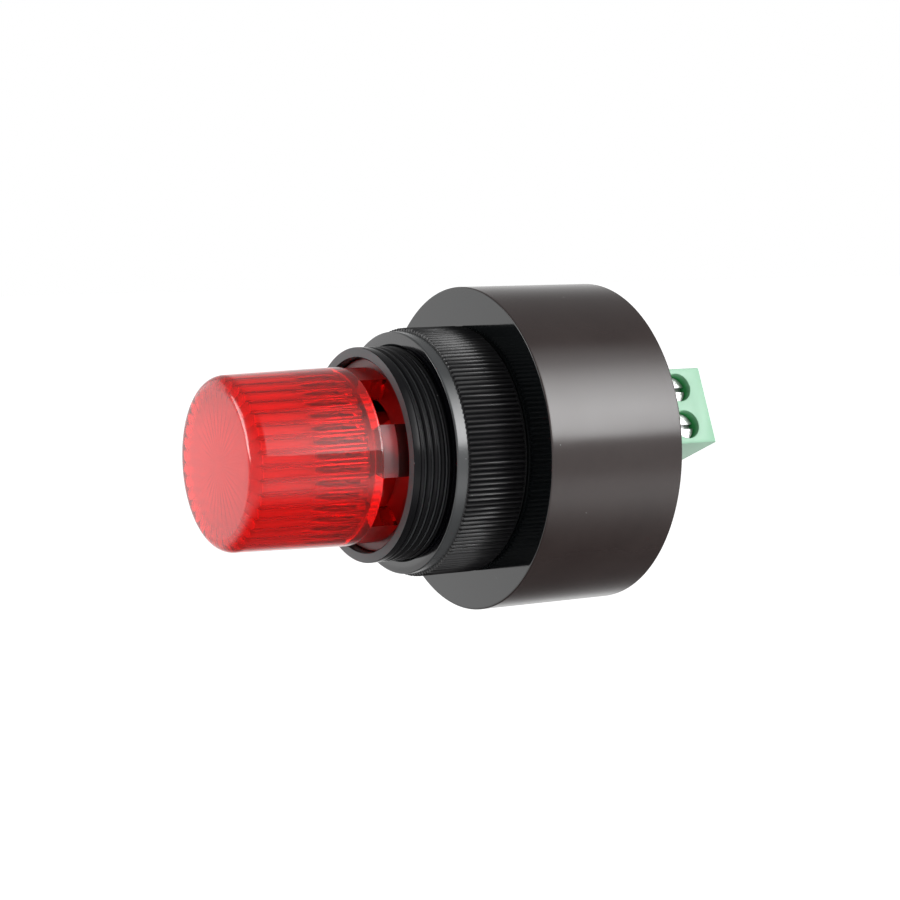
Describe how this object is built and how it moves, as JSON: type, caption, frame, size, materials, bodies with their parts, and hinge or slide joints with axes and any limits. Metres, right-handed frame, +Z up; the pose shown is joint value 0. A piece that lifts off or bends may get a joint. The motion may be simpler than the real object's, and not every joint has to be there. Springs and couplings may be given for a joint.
{
  "type": "panel buzzer",
  "caption": "Round panel buzzer with a lit red signal lens, a threaded neck with a knurled ring nut, and a screw terminal block at the rear.",
  "frame": {"origin": "on the buzzer's axis, in the plane of the case's front face, which seats against the back of the panel", "axes": "-Y points out through the panel along the lens, +Z is up, +X is the side that the terminal screws face"},
  "size_m": [0.042, 0.0659, 0.042],
  "materials": {
    "case_black": "moulded, satin side and polished panel face",
    "nut_black": "moulded, fine straight knurl",
    "lens_red": "clear red, polished outside, fluted inside",
    "board_red": "solder mask over glass fibre",
    "lamp_epoxy": "tinted clear epoxy",
    "wire_red": "soft sleeve",
    "wire_black": "soft sleeve",
    "holder_black": "moulded",
    "brass_disc": "rolled",
    "ceramic": "silvered ceramic",
    "board_green": "solder mask over glass fibre",
    "chip_black": "moulded",
    "coil_copper": "enamelled winding on a ferrite drum",
    "can_sleeve": "sleeved can",
    "plated_steel": "bright zinc plate",
    "block_green": "moulded",
    "tinned_brass": "tinned"
  },
  "bodies": {
    "case": {"housing": "case_black", "lens": "lens_red", "led_board": "board_red", "led_1": "lamp_epoxy", "led_2": "lamp_epoxy", "led_3": "lamp_epoxy", "led_wire_1": "wire_red", "led_wire_2": "wire_black", "piezo_holder": "holder_black", "piezo_disc": "brass_disc", "piezo_ceramic": "ceramic", "piezo_wire_1": "wire_red", "piezo_wire_2": "wire_black", "main_board": "board_green", "driver_chip": "chip_black", "step_up_coil": "coil_copper", "capacitor": "can_sleeve", "diode": "chip_black", "transistor": "chip_black", "resistor_1": "chip_black", "resistor_2": "chip_black", "board_screws": "plated_steel", "rear_cover": "case_black", "terminal_block": "block_green", "contact_pin_1": "tinned_brass", "contact_pin_2": "tinned_brass"},
    "nut": {"ring_nut": "nut_black"},
    "screw_1": {"terminal_screw_1": "plated_steel"},
    "screw_2": {"terminal_screw_2": "plated_steel"},
    "cage_1": {"clamp_cage_1": "plated_steel"},
    "cage_2": {"clamp_cage_2": "plated_steel"}
  },
  "joints": [
    {"name": "nut_travel", "type": "slide", "parent": "case", "child": "nut", "axis": [0, -1, 0], "range_m": [0, 0.012]},
    {"name": "cage_1_lift", "type": "slide", "parent": "case", "child": "cage_1", "axis": [0.9205, 0, 0.3907], "range_m": [0, 0.0016]},
    {"name": "screw_1_turn", "type": "hinge", "parent": "case", "child": "screw_1", "pos_m": [0.00099, 0.026, -0.00234], "axis": [-0.9205, 0, -0.3907], "range_deg": [0, 1152]},
    {"name": "cage_2_lift", "type": "slide", "parent": "case", "child": "cage_2", "axis": [0.9205, 0, 0.3907], "range_m": [0, 0.0016]},
    {"name": "screw_2_turn", "type": "hinge", "parent": "case", "child": "screw_2", "pos_m": [-0.00099, 0.026, 0.00234], "axis": [-0.9205, 0, -0.3907], "range_deg": [0, 1152]}
  ],
  "couplings": [
    {"joint": "screw_1_turn", "follows": "cage_1_lift", "rad_per_m": 12566},
    {"joint": "screw_2_turn", "follows": "cage_2_lift", "rad_per_m": 12566}
  ]
}
